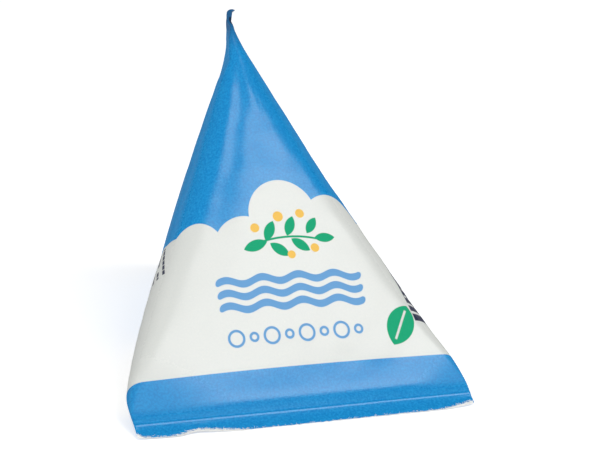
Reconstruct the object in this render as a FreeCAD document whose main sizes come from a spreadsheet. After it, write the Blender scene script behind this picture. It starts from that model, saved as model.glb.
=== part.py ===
"""Pyramid-shaped milk portion pack of coated paper, 20 ml, lying on one of its faces.

A paper tube is pinched flat by two seals that lie at right angles to each other.  Each seal leaves a flat
fin of two plies.  Between the seals the section across the tube is a rounded rectangle: its width shrinks
as its depth grows, and the length round it stays close to that of the tube.

Body frame: X along the bottom seal, Y along the top seal, Z along the tube, from one seal to the other.
World frame: +Z up, the bottom seal along X at the front (-Y), the table at Z = 0, and the origin under the
middle of the box round the pack.  Millimetres.
"""

import FreeCAD, Part
import math
import os

import Sketcher

V = FreeCAD.Vector

# Driving sizes: alias, value, meaning.  Angles are in degrees.
SIZES = [
    ("seal_length", 46.5, "length of each seal, half the way round the tube"),
    ("seal_distance", 47.4, "along the tube, from the bottom seal to the top seal"),
    ("fold_radius", 6.4, "radius of the long folds at mid height"),
    ("fold_power", 0.75, "how fast that radius dies away towards the seals"),
    ("bulge", 0.9, "swell of a face at mid height, for a flat stretch of half the seal's length"),
    ("fin_thickness", 0.56, "two plies of coated paper, pressed together"),
    ("fin_edge_radius", 0.18, "rounding at the short ends of the fins"),
    ("bottom_fin", 4.2, "depth of the bottom fin"),
    ("top_fin", 3.6, "depth of the top fin"),
    ("top_fin_bend", 17.0, "angle by which the top fin leans to +X"),
    ("table_press", 0.42, "how deep the table presses the swollen underside at mid height"),
]

# Sections across the tube, as shares of the way from the bottom seal to the top seal.
SHARES = [0.0, 0.03, 0.08, 0.15, 0.25, 0.375, 0.5, 0.625, 0.75, 0.85, 0.92, 0.97, 1.0]
THIN_FILL = 0.94  # share of a thin section's half depth that its corner radius may take
BLEND = 4  # sharpness of the change from a thin section's radius to the full fold radius
CUT_START = 0.12  # the table cut starts at this share of the seal distance, clear of the bottom fin

# Sketcher's numbers for the points of a curve, and for a sketch's own origin and axes.
START, END, CENTRE = 1, 2, 3
ROOT = (-1, 1)
X_AXIS, Y_AXIS = -1, -2

doc = FreeCAD.newDocument("milk_pack")
sheet = doc.addObject("Spreadsheet::Sheet", "Sizes")
for row, (alias, value, meaning) in enumerate(SIZES, 1):
    sheet.set(f"A{row}", meaning)
    sheet.set(f"B{row}", str(value))
    sheet.setAlias(f"B{row}", alias)
doc.recompute()


def origin_plane(body, role):
    return next(f for f in body.Origin.OriginFeatures if f.Role == role)


def new_sketch(body, name, role):
    sketch = body.newObject("Sketcher::SketchObject", name)
    sketch.AttachmentSupport = [(origin_plane(body, role), "")]
    sketch.MapMode = "FlatFace"
    return sketch


def bind(sketch, name, rule, *constraint):
    """Add a named constraint whose value follows an expression on the sheet."""
    index = sketch.addConstraint(Sketcher.Constraint(*constraint, value_of(rule)))
    sketch.renameConstraint(index, name)
    sketch.setExpression(f"Constraints.{name}", rule)


def value_of(rule):
    """The present value of an expression, in millimetres or degrees."""
    return float(sheet.evalExpression(rule))


def section_rules(share):
    """Expressions for one section: corner radius, half of each flat stretch, and swell per length."""
    fullness = 4 * share * (1 - share)
    near = min(share, 1 - share)
    end = "Sizes.fin_edge_radius"
    full = f"({end} + (Sizes.fold_radius - {end}) * {fullness} ^ Sizes.fold_power)"
    thin = f"({THIN_FILL} * ({near} * Sizes.seal_length + {1 - near} * Sizes.fin_thickness) / 2)"
    radius = f"({full} ^ (-{BLEND}) + {thin} ^ (-{BLEND})) ^ (-1 / {BLEND})"
    side = f"(Sizes.seal_length / 2 + (2 - pi / 2) * ({radius} - {end}))"
    half_fin = "Sizes.fin_thickness / 2"
    flat_x = f"({1 - share} * {side} + {share} * {half_fin} - {radius})"
    flat_y = f"({share} * {side} + {1 - share} * {half_fin} - {radius})"
    swell = f"Sizes.bulge * {fullness} / (Sizes.seal_length / 4)"
    return radius, flat_x, flat_y, swell


def add_section(body, name, share):
    """Sketch the tube's section at this share of the way up, and lift it to its height."""
    radius_rule, flat_x_rule, flat_y_rule, swell_rule = section_rules(share)
    radius, flat_x, flat_y, swell = map(value_of, (radius_rule, flat_x_rule, flat_y_rule, swell_rule))
    sketch = new_sketch(body, name, "XY_Plane")
    sketch.setExpression("AttachmentOffset.Base.z", f"Sizes.seal_distance * {share}")

    # Counter-clockwise from the side at +X: a side, then the corner that follows it, four times.
    turns = [(1, 1), (-1, 1), (-1, -1), (1, -1)]
    centres = [V(sx * flat_x, sy * flat_y, 0) for sx, sy in turns]
    for i, centre in enumerate(centres):
        before = centres[i - 1]
        outward = V(math.cos(i * math.pi / 2), math.sin(i * math.pi / 2), 0)
        start, end = before + outward * radius, centre + outward * radius
        if swell:
            peak = (start + end) / 2 + outward * swell * (end - start).Length / 2
            sketch.addGeometry(Part.Arc(start, peak, end))
        else:
            sketch.addGeometry(Part.LineSegment(start, end))
        circle = Part.Circle(centre, V(0, 0, 1), radius)
        sketch.addGeometry(Part.ArcOfCircle(circle, i * math.pi / 2, (i + 1) * math.pi / 2))

    corners = [1, 3, 5, 7]
    for i, corner in enumerate(corners):
        side, next_side = 2 * i, (2 * i + 2) % 8
        level, upright = ("Horizontal", "Vertical") if i % 2 == 0 else ("Vertical", "Horizontal")
        sketch.addConstraint([
            Sketcher.Constraint("Coincident", side, END, corner, START),
            Sketcher.Constraint("Coincident", corner, END, next_side, START),
            Sketcher.Constraint(level, corner, CENTRE, corner, START),
            Sketcher.Constraint(upright, corner, CENTRE, corner, END),
        ])
    for corner in corners[1:]:
        sketch.addConstraint(Sketcher.Constraint("Equal", corners[0], corner))
    first, second, third, fourth = corners
    sketch.addConstraint([
        Sketcher.Constraint("Symmetric", first, CENTRE, second, CENTRE, Y_AXIS),
        Sketcher.Constraint("Symmetric", second, CENTRE, third, CENTRE, X_AXIS),
        Sketcher.Constraint("Symmetric", third, CENTRE, fourth, CENTRE, Y_AXIS),
    ])
    bind(sketch, "corner_radius", radius_rule, "Radius", first)
    bind(sketch, "flat_x", flat_x_rule, "DistanceX", *ROOT, first, CENTRE)
    bind(sketch, "flat_y", flat_y_rule, "DistanceY", *ROOT, first, CENTRE)
    if swell:
        # An arc on a half chord c that swells by k * c has the radius c * (1 + k^2) / (2 * k).
        arc = f"* (1 + ({swell_rule}) ^ 2) / (2 * {swell_rule})"
        for i, flat_rule in enumerate([flat_y_rule, flat_x_rule] * 2):
            bind(sketch, f"side_radius_{i}", f"{flat_rule} {arc}", "Radius", 2 * i)
    return sketch


def add_tube(body):
    sections = [add_section(body, f"Section{i}", share) for i, share in enumerate(SHARES)]
    doc.recompute()
    tube = body.newObject("PartDesign::AdditiveLoft", "Tube")
    tube.Profile = sections[0]
    tube.Sections = sections[1:]
    doc.recompute()
    return sections[0], sections[-1]


def add_fins(body, bottom_section, top_section):
    bottom = body.newObject("PartDesign::Pad", "BottomFin")
    bottom.Profile = bottom_section
    bottom.Reversed = True
    bottom.setExpression("Length", "Sizes.bottom_fin")
    doc.recompute()

    top = body.newObject("PartDesign::Pad", "TopFin")
    top.Profile = top_section
    top.UseCustomVector = True
    top.AlongSketchNormal = False
    top.setExpression("Direction.x", "sin(Sizes.top_fin_bend * 1 deg)")
    top.setExpression("Direction.y", "0")
    top.setExpression("Direction.z", "cos(Sizes.top_fin_bend * 1 deg)")
    top.setExpression("Length", "Sizes.top_fin")
    doc.recompute()


def add_table_cut(body):
    """Flatten the underside at the table, which goes through the bottom fin's lower edge and the swell."""
    middle = f"Section{SHARES.index(0.5)}.Constraints"
    swell = f"Sizes.bulge / (Sizes.seal_length / 4) * {middle}.flat_x"
    edge_rules = ("Sizes.fin_thickness / 2", "-Sizes.bottom_fin")
    touch_rules = (
        f"{middle}.flat_y + {middle}.corner_radius + {swell} - Sizes.table_press * 1 mm",
        "Sizes.seal_distance / 2",
    )
    gap_rule, length_rule, depth_rule = (
        f"Sizes.seal_distance * {CUT_START}", "Sizes.seal_distance", "Sizes.seal_length / 4"
    )
    edge = V(*map(value_of, edge_rules), 0)
    touch = V(*map(value_of, touch_rules), 0)
    along = (touch - edge).normalize()
    start = edge + along * value_of(gap_rule)
    far = start + along * value_of(length_rule)
    drop = V(along.y, -along.x, 0) * value_of(depth_rule)

    sketch = new_sketch(body, "TableCut", "YZ_Plane")
    loop = [start, far, far + drop, start + drop]
    for i, point in enumerate(loop):
        sketch.addGeometry(Part.LineSegment(point, loop[(i + 1) % 4]))
    table = sketch.addGeometry(Part.LineSegment(edge, touch), True)
    for i in range(4):
        sketch.addConstraint(Sketcher.Constraint("Coincident", i, END, (i + 1) % 4, START))
    for i in range(3):
        sketch.addConstraint(Sketcher.Constraint("Perpendicular", i, i + 1))
    for point in (START, END):
        sketch.addConstraint(Sketcher.Constraint("PointOnObject", 0, point, table))
    bind(sketch, "edge_y", edge_rules[0], "DistanceX", *ROOT, table, START)
    bind(sketch, "edge_z", edge_rules[1], "DistanceY", *ROOT, table, START)
    bind(sketch, "touch_y", touch_rules[0], "DistanceX", *ROOT, table, END)
    bind(sketch, "touch_z", touch_rules[1], "DistanceY", *ROOT, table, END)
    bind(sketch, "gap", gap_rule, "Distance", table, START, 0, START)
    bind(sketch, "length", length_rule, "Distance", 0)
    bind(sketch, "depth", depth_rule, "Distance", 1)

    cut = body.newObject("PartDesign::Pocket", "TableFlat")
    cut.Profile = sketch
    cut.Type = "ThroughAll"
    cut.Midplane = True
    doc.recompute()


def lay_on_table(body):
    """Tip the tube until the table line is level, with its lowest edge at Z = 0 and the box centred."""
    line = "TableCut.Constraints"
    slope = f"atan(({line}.touch_y - {line}.edge_y) / ({line}.touch_z - {line}.edge_z))"
    half_fin = "Sizes.fin_thickness / 2"
    front = f"(-{half_fin} * sin({slope}) - Sizes.bottom_fin * cos({slope}))"
    top_height = "(Sizes.seal_distance + Sizes.top_fin * cos(Sizes.top_fin_bend * 1 deg))"
    back = f"(Sizes.seal_length / 2 * sin({slope}) + {top_height} * cos({slope}))"
    body.Placement = FreeCAD.Placement(V(), FreeCAD.Rotation(V(1, 0, 0), -90))
    body.setExpression("Placement.Rotation.Angle", f"{slope} - 90 deg")
    body.setExpression("Placement.Base.y", f"-({front} + {back}) / 2")
    body.setExpression("Placement.Base.z", f"{half_fin} * cos({slope}) + Sizes.bottom_fin * sin({slope})")
    doc.recompute()


def make_pack():
    body = doc.addObject("PartDesign::Body", "milk_pack")
    body.Label = "milk_pack"
    bottom_section, top_section = add_tube(body)
    add_fins(body, bottom_section, top_section)
    add_table_cut(body)
    lay_on_table(body)
    return body


def check(bodies):
    broken = [o.Name for o in doc.Objects if "Invalid" in o.State or "Error" in o.State]
    broken += [b.Label for b in bodies if b.Shape.isNull() or not b.Shape.isValid()]
    if broken:
        raise RuntimeError(f"these objects failed: {broken}")


bodies = [make_pack()]
check(bodies)
os.makedirs("parts", exist_ok=True)
for body in bodies:
    body.Shape.exportStep(f"parts/{body.Label}.step")
    slope = 90 + math.degrees(body.Placement.Rotation.Angle)
    print(f"{body.Label}: {body.Shape.Volume:.1f} mm3, tube sloping {slope:.2f} degrees")
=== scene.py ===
"""Looks of the pyramid milk portion pack: printed, coated paper closed by two crossed seals."""

import math

import bpy
import numpy as np
from mathutils import Matrix, Vector


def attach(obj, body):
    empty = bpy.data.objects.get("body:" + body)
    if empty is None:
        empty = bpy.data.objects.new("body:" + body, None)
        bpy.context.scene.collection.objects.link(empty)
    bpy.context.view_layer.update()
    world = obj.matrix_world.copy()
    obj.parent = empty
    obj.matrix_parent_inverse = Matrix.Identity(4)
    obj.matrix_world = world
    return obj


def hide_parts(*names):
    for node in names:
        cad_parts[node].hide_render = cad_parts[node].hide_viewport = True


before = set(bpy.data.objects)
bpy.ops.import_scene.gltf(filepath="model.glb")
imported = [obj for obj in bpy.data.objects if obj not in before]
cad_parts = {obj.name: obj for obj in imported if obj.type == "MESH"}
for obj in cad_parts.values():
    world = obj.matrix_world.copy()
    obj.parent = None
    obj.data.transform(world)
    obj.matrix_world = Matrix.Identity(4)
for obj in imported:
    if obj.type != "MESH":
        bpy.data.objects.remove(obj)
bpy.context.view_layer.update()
MM = 0.001

# ---------------------------------------------------------------------------
# Sizes of the pack in millimetres and degrees, as in the CAD model: X runs along the bottom seal,
# Y along the top seal and Z along the tube.  Places on the paper are (u, v): u runs round the tube from
# the middle of the front, towards +X, and v runs up from the bottom seal.
# ---------------------------------------------------------------------------
SEAL = 46.5  # length of each seal, half the way round the tube
RISE = 47.4  # from the bottom seal to the top seal
FOLD_RADIUS = 6.4
FOLD_POWER = 0.75
FOLD_FILL = 0.94
FOLD_BLEND = 4.0
CORNER_SAVING = 2 - math.pi / 2  # paper that a rounded corner saves for each millimetre of its radius
BULGE = 0.9
FIN_HALF = 0.28  # half the thickness of a fin
FIN_EDGE_RADIUS = 0.18
BOTTOM_FIN = 4.2
TOP_FIN = 3.6
TOP_LEAN = 17.0
REST_SLOPE = 24.8
SEAL_SOFTNESS = 0.45  # how gradually the faces leave a fin
LEAN_SOFTNESS = 0.3
PAPER_STRETCH = math.hypot(RISE, SEAL / 2) / RISE  # way up a face for each millimetre of tube
OVERLAP_SEAM = 34.0  # where the paper's two side edges are sealed together, round the tube

COLUMNS_A_QUARTER = 84
FOLD_CROWDING = 0.72  # how closely the columns crowd at the fins' folded ends
EASE_WIDTH, EASE_POWER = 0.85, 0.6  # how widely the paper eases from flat to fold
EASE_OFFSETS = (-2.0, -1.5, -1.0, -0.5, 0.0, 0.5, 1.0, 1.5, 2.0)
LONG_WAVE_POWER = 1.2  # how much higher a long wave in the paper is than a short one
ROWS_EVEN_ABOVE = -2.3  # in the bottom fin, rows below this height follow its uneven cut edge
ROWS_EVEN_BELOW = RISE + 1.0  # and in the top fin, rows above this height


def soft_distance(distance, softness):
    """The distance where it is well over 0, running softly to 0 below that."""
    return softness * np.logaddexp(0, distance / softness)


def bump(distance, width):
    """A smooth hill of height 1 at distance 0."""
    return np.exp(-((distance / width) ** 2))


def step(value, low, high):
    """A smooth step from 0 at low to 1 at high."""
    share = np.clip((value - low) / (high - low), 0, 1)
    return share * share * (3 - 2 * share)


# ---------------------------------------------------------------------------
# The tube of paper
# ---------------------------------------------------------------------------
def section_sizes(z):
    """Half width, half depth, fold radius and fullness of the tube's section at height z."""
    from_bottom = soft_distance(z, SEAL_SOFTNESS)
    from_top = soft_distance(RISE - z, SEAL_SOFTNESS)
    top_share = from_top / (from_bottom + from_top)
    bottom_share = 1 - top_share
    fullness = 4 * top_share * bottom_share
    near = np.minimum(top_share, bottom_share)
    full = FIN_EDGE_RADIUS + (FOLD_RADIUS - FIN_EDGE_RADIUS) * fullness**FOLD_POWER
    thin = FOLD_FILL * (near * SEAL / 2 + (1 - near) * FIN_HALF)
    radius = (full**-FOLD_BLEND + thin**-FOLD_BLEND) ** (-1 / FOLD_BLEND)
    side = SEAL / 2 + CORNER_SAVING * (radius - FIN_EDGE_RADIUS)
    half_width = top_share * side + bottom_share * FIN_HALF
    half_depth = bottom_share * side + top_share * FIN_HALF
    return half_width, half_depth, radius, fullness


def section_points(around, z):
    """X and Y on the tube's section, at a share of the way round from the middle of the front."""
    half_width, half_depth, radius, fullness = section_sizes(z)
    quadrant = np.floor(around * 4)
    odd = quadrant % 2 == 1
    first_reach = np.where(odd, half_width, half_depth)
    second_reach = np.where(odd, half_depth, half_width)
    first_flat = second_reach - radius
    second_flat = first_reach - radius
    corner = math.pi / 2 * radius
    quarter = first_flat + corner + second_flat
    travel = (around * 4 - quadrant) * quarter
    left_over = quarter - travel
    angle = np.clip((travel - first_flat) / radius, 0, math.pi / 2)
    swell = BULGE * fullness / (SEAL / 4)
    first_swell = swell * first_flat * (1 - (travel / first_flat) ** 2)
    second_swell = swell * second_flat * (1 - (left_over / second_flat) ** 2)
    on_first = travel < first_flat
    on_second = left_over < second_flat
    ahead = np.where(on_second, left_over, first_reach - radius + radius * np.cos(angle))
    ahead = np.where(on_first, first_reach + first_swell, ahead)
    aside = np.where(on_second, second_reach + second_swell, first_flat + radius * np.sin(angle))
    aside = np.where(on_first, travel, aside)
    heading = (quadrant - 1) * math.pi / 2
    x = ahead * np.cos(heading) - aside * np.sin(heading)
    y = ahead * np.sin(heading) + aside * np.cos(heading)
    return x, y


def eased_section(around, z):
    """The section with its flats running softly into its folds, except in the fins."""
    fullness = section_sizes(z)[3]
    reach = EASE_WIDTH * fullness**EASE_POWER / (2 * SEAL)
    x, y, total = 0.0, 0.0, 0.0
    for offset in EASE_OFFSETS:
        weight = math.exp(-(offset**2) / 2)
        px, py = section_points(around + offset * reach, z)
        x, y, total = x + weight * px, y + weight * py, total + weight
    return x / total, y / total


def paper_columns():
    """Shares of the way round, crowded where the fins' ends are folded."""
    share = np.arange(COLUMNS_A_QUARTER) / COLUMNS_A_QUARTER
    share = share - FOLD_CROWDING / (2 * math.pi) * np.sin(2 * math.pi * share)
    return np.concatenate([(share + quarter) / 4 for quarter in range(4)])


def tube_rows():
    """Heights of the rows on the open tube and its fins, without the cut edges."""
    runs = (  # from, to and how many rows
        (-BOTTOM_FIN, ROWS_EVEN_ABOVE, 13),
        (ROWS_EVEN_ABOVE, -1.6, 10),
        (-1.6, -0.2, 8),
        (-0.2, 3.0, 18),
        (3.0, RISE - 5.0, 88),
        (RISE - 5.0, RISE, 24),
        (RISE, RISE + TOP_FIN, 22),
    )
    rows = [np.linspace(low, high, count, endpoint=False) for low, high, count in runs]
    return np.append(np.concatenate(rows), RISE + TOP_FIN)


def wandering(rng, low, high, count):
    """Random waves over the paper: how fast each turns along u and v, its phase and its weight."""
    lengths = rng.uniform(low, high, count)
    angles = rng.uniform(0, math.pi, count)
    return (
        2 * math.pi * np.cos(angles) / lengths,
        2 * math.pi * np.sin(angles) / lengths,
        rng.uniform(0, 2 * math.pi, count),
        (lengths / high) ** LONG_WAVE_POWER / math.sqrt(count),
    )


def waves_over(u, v, waves):
    """How high the random waves stand at each place."""
    total = np.zeros_like(u)
    for along_u, along_v, phase, weight in zip(*waves):
        total += weight * np.sin(along_u * u + along_v * v + phase)
    return total


def way_from_line(u, v, line):
    """How far places lie beside a bent line, the share of the line's height reached and the way past it."""
    points = np.array(line, float)
    height = np.clip(v, points[:, 1].min(), points[:, 1].max())
    order = np.argsort(points[:, 1])
    at = np.interp(height, points[order, 1], points[order, 0])
    share = (height - points[:, 1].min()) / np.ptp(points[:, 1])
    return u - at, share, v - height


# ---------------------------------------------------------------------------
# Local shape: how this pack is pulled, pinched, creased and torn.  Heights z are along the tube.
# ---------------------------------------------------------------------------
LEFT_BULGE = (  # height, place round the tube and how far the left side stands out there
    (-4.2, -23.25, -0.33), (-1.1, -23.25, -0.34), (1.0, -23.25, -0.10), (2.5, -23.25, 0.40),
    (4.3, -23.2, 0.47), (6.6, -23.3, 0.39), (10.6, -23.3, 0.27), (14.2, -22.9, 0.15),
    (17.8, -22.2, -0.06), (23.6, -19.2, -0.25), (28.0, -17.0, -0.08), (33.0, -13.0, 0.08),
    (38.0, -10.0, 0.0), (41.0, -7.5, -0.2), (47.5, -7.0, -0.25), (51.0, -2.0, -0.1),
)
RIGHT_BULGE = (  # the same on the right
    (-4.2, 23.25, 0.12), (-1.1, 23.25, 0.10), (0.9, 23.25, 0.29), (2.5, 22.6, 0.50),
    (4.3, 21.7, 0.40), (6.1, 21.0, 0.24), (7.5, 20.2, 0.16), (11.1, 18.4, 0.22),
    (14.2, 17.2, 0.24), (16.4, 16.4, 0.28), (18.6, 15.4, 0.05), (25.0, 11.6, 0.0),
    (36.0, 6.2, -0.10), (42.0, 2.6, 0.0), (45.5, 1.2, -0.14), (49.0, 0.4, -0.10), (51.0, 0.0, 0.0),
)
LEFT_BULGE_WIDTH, RIGHT_BULGE_WIDTH = 6.0, 4.5
TABLE_EASE = (-0.9, -0.45, 0.0, 0.45, 0.9)  # places that a table's value is the mean of
PINCH, PINCH_HEIGHT, PINCH_ABOVE, PINCH_BELOW = 0.5, 43.45, 3.0, 1.6
PINCH_FROM_TIP, PINCH_LENGTH, PINCH_WIDTH = 1.5, 4.0, 2.0
FIN_THINNING = 0.72  # share of its thickness that a fin loses towards its cut edge
EMBOSS_AT = 1.95  # from the seal to the pressed line in a fin
EMBOSS_HEIGHT, EMBOSS_WIDTH = 0.05, 0.13
EMBOSS_BACK, BACK_FROM = 0.4, 0.1  # share of its height that shows on the back ply, and where that begins
SEAM_STEP = 0.15  # height of the overlap
SEAM_FLAT, SEAM_WIDTH = 0.6, 5.0  # ways from its edge between which it fades
SEAM_IN_FINS = 0.3  # share of the seam's height left in the pressed fins
PAPER_WAVES = (  # height, shortest and longest wave, and how many
    (0.13, 9.0, 26.0, 14),
    (0.022, 2.2, 5.5, 16),
)
WAVES_START = (0.2, 4.0)  # the waves grow from 0 to full between these ways from a seal
TORN_FRONT = (  # place along the seal, cut height of the front ply, its torn bevel, back ply seen below
    (-23.25, -3.80, 0.02, 0.01),
    (-22.4, -3.92, 0.03, 0.01),
    (-20.0, -4.08, 0.03, 0.01),
    (-18.0, -4.16, 0.05, 0.01),
    (-17.2, -3.98, 0.10, 0.02),
    (-16.2, -3.62, 0.15, 0.04),
    (-15.0, -3.38, 0.18, 0.05),
    (-12.1, -3.78, 0.14, 0.08),
    (-9.5, -4.08, 0.07, 0.04),
    (-8.0, -4.18, 0.03, 0.01),
    (18.6, -4.17, 0.03, 0.02),
    (19.8, -3.94, 0.08, 0.08),
    (22.2, -3.46, 0.08, 0.24),
    (23.25, -3.20, 0.03, 0.27),
)
# Soft creases run down from the pinched tip: points on the paper, height and width of the fold.
CREASES = (
    (((-0.6, 49.8), (-0.9, 44.0), (-1.7, 39.5), (-3.1, 35.8), (-4.0, 31.8), (-5.9, 28.6), (-7.6, 24.5)),
     -0.145, 1.15),
    (((0.2, 49.8), (0.5, 44.0), (1.1, 40.0), (2.2, 36.0), (3.4, 31.0)), 0.17, 1.20),
)
CREASE_START, CREASE_POWER = 0.1, 0.7  # how soon and how quickly a crease grows along its line
CREASE_END, CREASE_SPREAD = 1.5, 1.6  # how far it runs on past its ends, and how it widens downwards


def eased_table(value, table, column):
    """A column of a table at any value, with its corners rounded off."""
    rows = np.array(table).T
    return sum(np.interp(value + way, rows[0], rows[column]) for way in TABLE_EASE) / len(TABLE_EASE)


def pull_and_pinch(x, y, z, u):
    """The sides stand out unevenly over the bottom seal, and the tip's left side is pinched in."""
    left = bump(u - eased_table(z, LEFT_BULGE, 1), LEFT_BULGE_WIDTH)
    right = bump(u - eased_table(z, RIGHT_BULGE, 1), RIGHT_BULGE_WIDTH)
    x = x - left * eased_table(z, LEFT_BULGE, 2) + right * eased_table(z, RIGHT_BULGE, 2)
    reach = np.where(z > PINCH_HEIGHT, PINCH_ABOVE, PINCH_BELOW)
    near_tip = bump(y + SEAL / 2 - PINCH_FROM_TIP, PINCH_LENGTH)
    return x + PINCH * bump(z - PINCH_HEIGHT, reach) * np.clip(-x / PINCH_WIDTH, 0, 1) * near_tip


def skin_relief(u, v, z, rng):
    """How far the paper stands out from its plain form."""
    open_tube = step(z, *WAVES_START) * step(RISE - z, *WAVES_START)
    relief = np.zeros_like(u)
    for height, shortest, longest, count in PAPER_WAVES:
        relief += height * open_tube * waves_over(u, v, wandering(rng, shortest, longest, count))
    for line, height, width in CREASES:
        beside, share, beyond = way_from_line(u, v, line)
        grown = np.clip(share * (1 - CREASE_START) + CREASE_START, 0, 1)
        strength = np.sin(np.pi * grown) ** CREASE_POWER * bump(beyond, CREASE_END)
        relief += height * strength * bump(beside, width * (CREASE_SPREAD - share))
    from_seam = OVERLAP_SEAM - u
    lapped = np.where(from_seam >= -1e-6, 1 - step(from_seam, SEAM_FLAT, SEAM_WIDTH), 0)
    pressed = SEAM_IN_FINS + (1 - SEAM_IN_FINS) * open_tube
    return relief + SEAM_STEP * lapped * pressed


def push_out(x, y, z, far):
    """Moves the grid of points along its own normals."""
    points = np.stack([x, y, z], -1)
    across = np.roll(points, -1, 1) - np.roll(points, 1, 1)
    up = np.gradient(points, axis=0)
    normal = np.cross(across, up)
    normal /= np.linalg.norm(normal, axis=-1, keepdims=True)
    points = points + normal * far[..., None]
    return points[..., 0], points[..., 1], points[..., 2]


def ragged(along, rng, rough, fine):
    """An uneven line: slow and quick wandering along a paper edge."""
    line = np.zeros_like(along)
    for (shortest, longest), height in zip(EDGE_WAVES, (rough, fine)):
        waves = wandering(rng, shortest, longest, EDGE_WAVE_COUNT)
        line += height * waves_over(along, np.zeros_like(along), waves)
    return line


TIP_CURL_RADIUS, TIP_CURL_DEPTH = 0.36, 1.5  # the curl at the top fin's front corner
FLATTEST_CURL = 0.02  # share of the curl's bend that is left far from the corner
TIP_SWELL, TIP_SWELL_DEPTH = 1.7, 1.3  # how far that corner is pulled open instead of thinned
TIP_REACH, TIP_CURL_START = 0.9, 3.55  # how far that corner stands up, and where it starts to curl
TOP_SWAY_FRONT, TOP_SWAY_BACK = 0.50, 0.88  # the top fin's edge goes left at the tip, then right
TOP_SWAY_ENDS = (12.0, 14.0, 30.0)  # ways from the tip where that sway has turned, starts back and ends
TOP_SWAY_RISE = (0.3, 1.9)  # the sway grows between these ways up the top fin
TOP_FIN_SWAY, BOTTOM_FIN_SWAY = 0.10, 0.05
TOP_FIN_WAVE, BOTTOM_FIN_WAVE = (3.7, 0.8), (6.3, 2.0)  # way for each radian, and phase, of the sway
TOP_FIN_WAVE_FROM = (20, 30)  # ways from the tip between which the top fin's sway starts
PAPER_SEED = 20
EDGE_WAVES = ((2.5, 7.0), (0.35, 1.2))  # shortest and longest of the slow and the quick wandering
EDGE_WAVE_COUNT = 9
FRONT_RAGGED, BACK_RAGGED = (0.12, 0.55), (0.5, 0.8)  # slow and quick wandering of each cut edge
TOP_RAGGED, BEVEL_RAGGED = (0.6, 0.5), (0.3, 0.9)
FRONT_CUT, FRONT_TORN = 0.10, 0.55  # how uneven the front edge is where cut, and how much more where torn
BACK_UNEVEN, TOP_UNEVEN, BEVEL_UNEVEN = 0.03, 0.05, 0.5
EDGE_OVERSHOOT = 0.03  # how far past its plain height the bottom fin may reach
EVEN_ENDS = 0.5  # way over which the edge evens out at the fin's ends
SEAM_GAP = 0.0006  # share of the way round between the two sides of the seam's step
SEAM_CUT = 0.06  # way on the paper that the seam's raw edge takes up
BOTTOM_THINS, TOP_THINS = (0.4, 3.2), (0.4, 2.8)  # ways from each seal between which its fin thins
CLEAN_BEVEL = 0.02
BEVEL_LIMITS = (0.01, 0.7)
FOLD_INSET = 0.12  # how far the turned-in edge stays inside the fin's folded ends
GROOVE_DEPTH = 0.35
CUT_PROFILE = (  # share of the way from the fin's middle to its skin, share of the bevel, fixed drop
    (0.93, 0.0, 0.020),
    (0.82, 0.0, 0.030),
    (0.30, 1.0, 0.030),
    (0.12, 1.0, 0.015),
)
GROOVE_SHARE, GROOVE_CLOSES = 0.06, 0.05  # width left at the groove's end, and how far on it is closed
TURNED_IN = 0.25  # way on the paper that each turned-in ring takes up


def lay_at_rest(x, y, z):
    """From the pack's own frame to the table: it lies on its back face and the bottom fin's edge."""
    slope, lean = math.radians(REST_SLOPE), math.radians(TOP_LEAN)
    sine, cosine = math.sin(slope), math.cos(slope)
    front = -FIN_HALF * sine - BOTTOM_FIN * cosine
    back = SEAL / 2 * sine + (RISE + TOP_FIN * math.cos(lean)) * cosine
    shift = -(front + back) / 2
    lift = FIN_HALF * cosine + BOTTOM_FIN * sine
    height = np.maximum(-y * cosine + z * sine + lift, 0)
    return np.stack([x, y * sine + z * cosine + shift, height], -1) * MM


def bend_top_fin(x, y, z):
    """X of the points where the top fin leans to the right and sways in a slow curve."""
    above = soft_distance(z - RISE, LEAN_SOFTNESS)
    x = x + above * math.tan(math.radians(TOP_LEAN))
    from_tip = y + SEAL / 2
    turned, starts_back, straight = TOP_SWAY_ENDS
    sway = (TOP_SWAY_FRONT + TOP_SWAY_BACK) * step(from_tip, 0, turned) - TOP_SWAY_FRONT
    sway = sway - TOP_SWAY_BACK * step(from_tip, starts_back, straight)
    x = x + sway * step(above, *TOP_SWAY_RISE)
    length, phase = TOP_FIN_WAVE
    far_from_tip = step(from_tip, *TOP_FIN_WAVE_FROM)
    return x + TOP_FIN_SWAY * step(above, 0, TOP_FIN) * far_from_tip * np.sin(y / length + phase)


def curl_tip(x, y, z):
    """Rolls the front corner of the top fin over to the right."""
    radius = TIP_CURL_RADIUS / np.maximum(bump(y + SEAL / 2, TIP_CURL_DEPTH), FLATTEST_CURL)
    start = RISE + TIP_CURL_START
    angle = np.clip((z - start) / radius, 0, math.pi)
    rolled_x = radius - (radius - x) * np.cos(angle)
    rolled_z = start + (radius - x) * np.sin(angle)
    above = z > start
    return np.where(above, rolled_x, x), np.where(above, rolled_z, z)


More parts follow.
